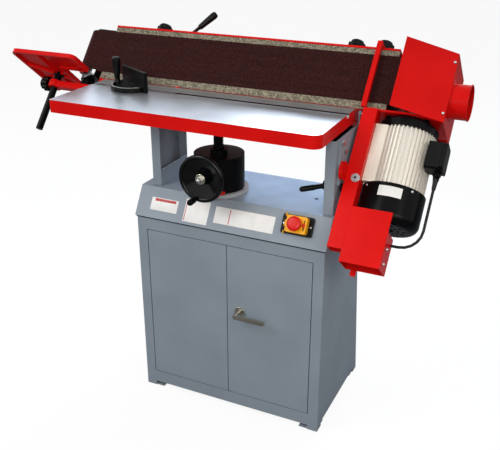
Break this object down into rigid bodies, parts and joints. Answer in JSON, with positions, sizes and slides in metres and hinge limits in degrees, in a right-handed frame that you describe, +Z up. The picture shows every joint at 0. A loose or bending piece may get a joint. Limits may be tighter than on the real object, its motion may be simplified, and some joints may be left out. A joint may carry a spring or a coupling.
{
  "type": "edge sander",
  "caption": "Floor-standing edge sander: a tilting belt head with motor, hood and dust port above a rising cast table with mitre gauge, on a two-door sheet cabinet.",
  "frame": {"origin": "centre of the four floor bolt holes at floor level, below the middle of the cabinet", "axes": "+X to the operator's right along the belt, +Y to the back of the machine, +Z up"},
  "size_m": [1.457, 0.5956, 1.1614],
  "materials": {
    "red_paint": "gloss",
    "grey_paint": "satin",
    "black_paint": "gloss",
    "steel": "satin",
    "chrome": "polished",
    "table_iron": "painted sides, ground top",
    "cast_black": "painted",
    "alu": "cast",
    "black_plastic": "moulded",
    "red_plastic": "gloss",
    "green_plastic": "gloss",
    "yellow_plastic": "gloss",
    "abrasive": "cloth-backed grit",
    "graphite": "cloth",
    "lead": "satin"
  },
  "bodies": {
    "base": {"cabinet_shell": "grey_paint", "fascia_housing": "grey_paint", "left_column": "grey_paint", "right_column": "grey_paint", "left_trunnion": "grey_paint", "right_trunnion": "grey_paint", "frame_bolts": "steel", "pivot_pins": "steel", "tilt_boss": "red_paint", "lift_housing": "cast_black", "switch_plate": "black_plastic"},
    "left_door_body": {"left_door": "grey_paint"},
    "right_door_body": {"right_door": "grey_paint", "latch_rosette": "chrome"},
    "latch_body": {"latch_handle": "chrome"},
    "switch_lid_body": {"switch_lid": "yellow_plastic"},
    "mushroom_body": {"switch_mushroom": "red_plastic"},
    "start_body": {"start_button": "green_plastic"},
    "stop_button_body": {"stop_button": "red_plastic"},
    "tilt_lever_body": {"tilt_lever": "black_plastic"},
    "lift_lock_body": {"lift_lock": "red_plastic"},
    "table_body": {"table_casting": "table_iron", "lift_post": "steel"},
    "handwheel_body": {"handwheel": "black_paint", "wheel_shaft": "steel", "lift_pinion": "steel"},
    "grip_body": {"crank_grip": "black_plastic"},
    "mitre_bar_body": {"mitre_bar": "steel"},
    "mitre_head_body": {"mitre_head": "cast_black"},
    "mitre_handle_body": {"mitre_handle": "black_plastic"},
    "head_body": {"belt_frame": "red_paint", "platen_pad": "graphite", "sanding_belt": "abrasive", "rear_guard": "red_paint", "drive_hood": "red_paint", "dust_port": "red_paint", "motor_bell": "black_paint", "motor_stator": "alu", "fan_cover": "black_paint", "terminal_box": "black_plastic", "motor_lead": "lead", "tilt_arm": "red_paint", "junction_box": "red_paint", "head_bolts": "steel", "end_bracket": "red_paint"},
    "spindle_body": {"drive_drum": "steel", "motor_fan": "black_plastic"},
    "fork_body": {"idler_fork": "black_paint", "idler_axle": "steel"},
    "idler_body": {"idler_drum": "steel"},
    "tracking_body": {"tracking_knob": "black_plastic"},
    "tension_body": {"tension_lever": "black_plastic"},
    "stop_bar_body": {"stop_bar": "red_paint"},
    "stop_knob_body": {"stop_knob": "black_plastic"},
    "left_knob_body": {"left_guard_knob": "black_plastic"},
    "right_knob_body": {"right_guard_knob": "black_plastic"},
    "end_table_body": {"end_table": "red_paint", "end_post": "black_paint"},
    "end_knob_body": {"end_knob": "black_plastic"}
  },
  "joints": [
    {"name": "left_door_hinge", "type": "hinge", "parent": "base", "child": "left_door_body", "pos_m": [-0.26325, -0.1855, 0.06], "axis": [0, 0, -1], "range_deg": [0, 100]},
    {"name": "right_door_hinge", "type": "hinge", "parent": "base", "child": "right_door_body", "pos_m": [0.26325, -0.1855, 0.06], "axis": [0, 0, 1], "range_deg": [0, 100]},
    {"name": "latch_turn", "type": "hinge", "parent": "right_door_body", "child": "latch_body", "pos_m": [0.043, -0.1925, 0.362], "axis": [0, -1, 0], "range_deg": [0, 90]},
    {"name": "switch_lid_flip", "type": "hinge", "parent": "base", "child": "switch_lid_body", "pos_m": [0.1785, -0.17748, 0.67621], "axis": [0, -0.516, -0.8566], "range_deg": [0, 100]},
    {"name": "mushroom_push", "type": "slide", "parent": "switch_lid_body", "child": "mushroom_body", "axis": [0, 0.8566, -0.516], "range_m": [0, 0.004], "stiffness_N_per_m": 300},
    {"name": "start_push", "type": "slide", "parent": "base", "child": "start_body", "axis": [0, 0.8566, -0.516], "range_m": [0, 0.003], "stiffness_N_per_m": 300},
    {"name": "stop_push", "type": "slide", "parent": "base", "child": "stop_button_body", "axis": [0, 0.8566, -0.516], "range_m": [0, 0.003], "stiffness_N_per_m": 300},
    {"name": "tilt_lock_turn", "type": "hinge", "parent": "base", "child": "tilt_lever_body", "pos_m": [0.3, -0.074, 0.767], "axis": [1, 0, 0], "range_deg": [0, 60]},
    {"name": "lift_lock_turn", "type": "hinge", "parent": "base", "child": "lift_lock_body", "pos_m": [-0.04704, -0.15659, 0.717], "axis": [0.3746, -0.9272, 0], "range_deg": [0, 60]},
    {"name": "table_lift", "type": "slide", "parent": "base", "child": "table_body", "axis": [0, 0, 1], "range_m": [0, 0.08]},
    {"name": "handwheel_turn", "type": "hinge", "parent": "base", "child": "handwheel_body", "pos_m": [-0.06, -0.23, 0.786], "axis": [0, 1, 0], "range_deg": [-5, 390]},
    {"name": "grip_spin", "type": "hinge", "parent": "handwheel_body", "child": "grip_body", "pos_m": [-0.0724, -0.23, 0.72766], "axis": [0, 1, 0], "continuous": true},
    {"name": "mitre_slide", "type": "slide", "parent": "table_body", "child": "mitre_bar_body", "axis": [1, 0, 0], "range_m": [-0.04, 0.5]},
    {"name": "mitre_angle", "type": "hinge", "parent": "mitre_bar_body", "child": "mitre_head_body", "pos_m": [-0.41, -0.022, 0.963], "axis": [0, 0, 1], "range_deg": [-120, 0]},
    {"name": "mitre_clamp", "type": "hinge", "parent": "mitre_bar_body", "child": "mitre_handle_body", "pos_m": [-0.463, -0.022, 0.98], "axis": [0, 0, 1], "continuous": true},
    {"name": "head_tilt", "type": "hinge", "parent": "base", "child": "head_body", "pos_m": [0, 0.058, 0.946], "axis": [-1, 0, 0], "range_deg": [-40, 50]},
    {"name": "drum_spin", "type": "hinge", "parent": "head_body", "child": "spindle_body", "pos_m": [0.441, 0.10626, 0.9055], "axis": [0, 0.6428, 0.766], "continuous": true},
    {"name": "tension_slide", "type": "slide", "parent": "head_body", "child": "fork_body", "axis": [1, 0, 0], "range_m": [0, 0.0069]},
    {"name": "idler_spin", "type": "hinge", "parent": "fork_body", "child": "idler_body", "pos_m": [-0.66, 0.07753, 0.92961], "axis": [0, 0.6428, 0.766], "continuous": true},
    {"name": "tension_turn", "type": "hinge", "parent": "head_body", "child": "tension_body", "pos_m": [-0.344, 0.08864, 0.92029], "axis": [0, 0.6428, 0.766], "range_deg": [-1, 61]},
    {"name": "tracking_turn", "type": "hinge", "parent": "fork_body", "child": "tracking_body", "pos_m": [-0.66, 0.07753, 0.92961], "axis": [0, 0.6428, 0.766], "continuous": true},
    {"name": "stop_slide", "type": "slide", "parent": "head_body", "child": "stop_bar_body", "axis": [0, -0.766, 0.6428], "range_m": [0, 0.016]},
    {"name": "stop_knob_turn", "type": "hinge", "parent": "head_body", "child": "stop_knob_body", "pos_m": [0.319, 0.07999, 0.92755], "axis": [0, 0.6428, 0.766], "continuous": true},
    {"name": "left_knob_turn", "type": "hinge", "parent": "head_body", "child": "left_knob_body", "pos_m": [-0.42834, 0.07485, 0.93186], "axis": [0, 0.6428, 0.766], "continuous": true},
    {"name": "right_knob_turn", "type": "hinge", "parent": "head_body", "child": "right_knob_body", "pos_m": [0.23474, 0.07485, 0.93186], "axis": [0, 0.6428, 0.766], "continuous": true},
    {"name": "end_table_lift", "type": "slide", "parent": "head_body", "child": "end_table_body", "axis": [0, 0.6428, 0.766], "range_m": [-0.005, 0.1]},
    {"name": "end_knob_turn", "type": "hinge", "parent": "head_body", "child": "end_knob_body", "pos_m": [-0.787, 0.04359, 0.92415], "axis": [1, 0, 0], "continuous": true}
  ],
  "couplings": [
    {"joint": "handwheel_turn", "follows": "table_lift", "rad_per_m": 83.333},
    {"joint": "idler_spin", "follows": "drum_spin", "ratio": 2.0417},
    {"joint": "tension_turn", "follows": "tension_slide", "rad_per_m": 151.77}
  ]
}
